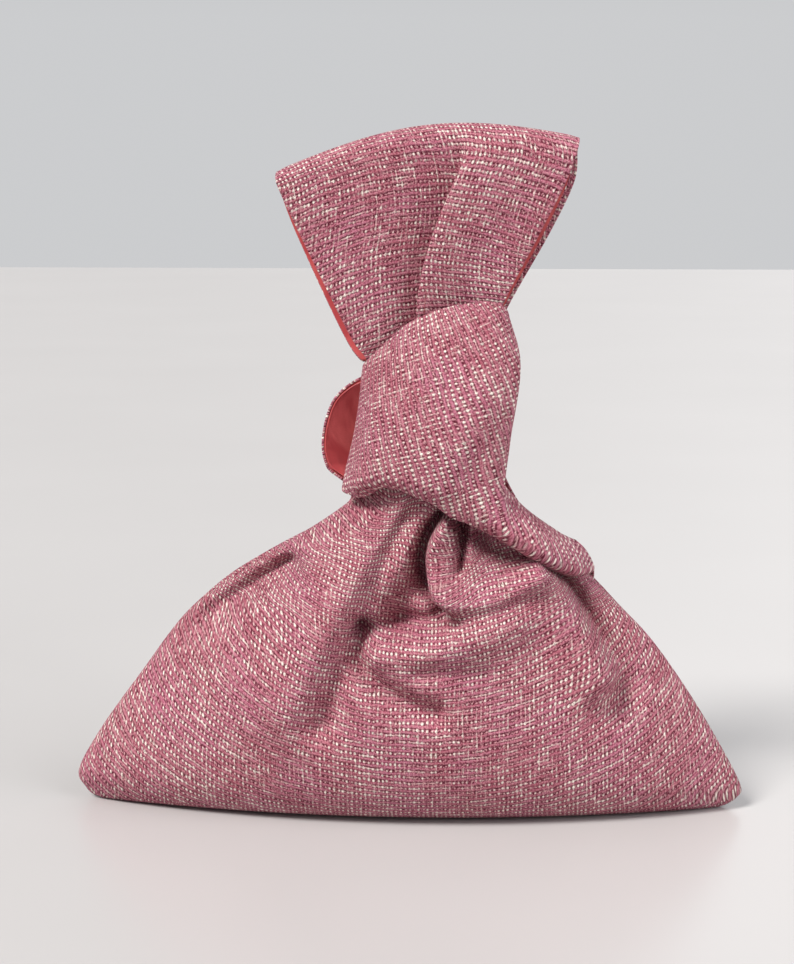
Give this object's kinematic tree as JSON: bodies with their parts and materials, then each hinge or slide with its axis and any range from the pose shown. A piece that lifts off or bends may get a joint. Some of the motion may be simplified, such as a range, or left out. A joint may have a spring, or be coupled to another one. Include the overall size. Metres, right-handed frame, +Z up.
{
  "type": "knotted fabric handbag",
  "caption": "Soft cloth handbag with pointed bottom corners, whose long handle stands up through the short handle that is knotted round its neck.",
  "frame": {"origin": "centre of the bag's bounding box, on the surface it stands on", "axes": "+X to the viewer's right along the base, +Y to the back through the bag's depth, +Z up along the handle"},
  "size_m": [0.3018, 0.0941, 0.3048],
  "materials": {
    "tweed": "coarse rose and cream tweed, matte",
    "lining": "coral red satin, soft sheen"
  },
  "bodies": {
    "root": {"front_panel": "tweed", "back_panel": "tweed", "long_handle": "tweed", "short_handle": "tweed", "long_handle_lining": "lining", "neck_lining": "lining"}
  },
  "joints": []
}
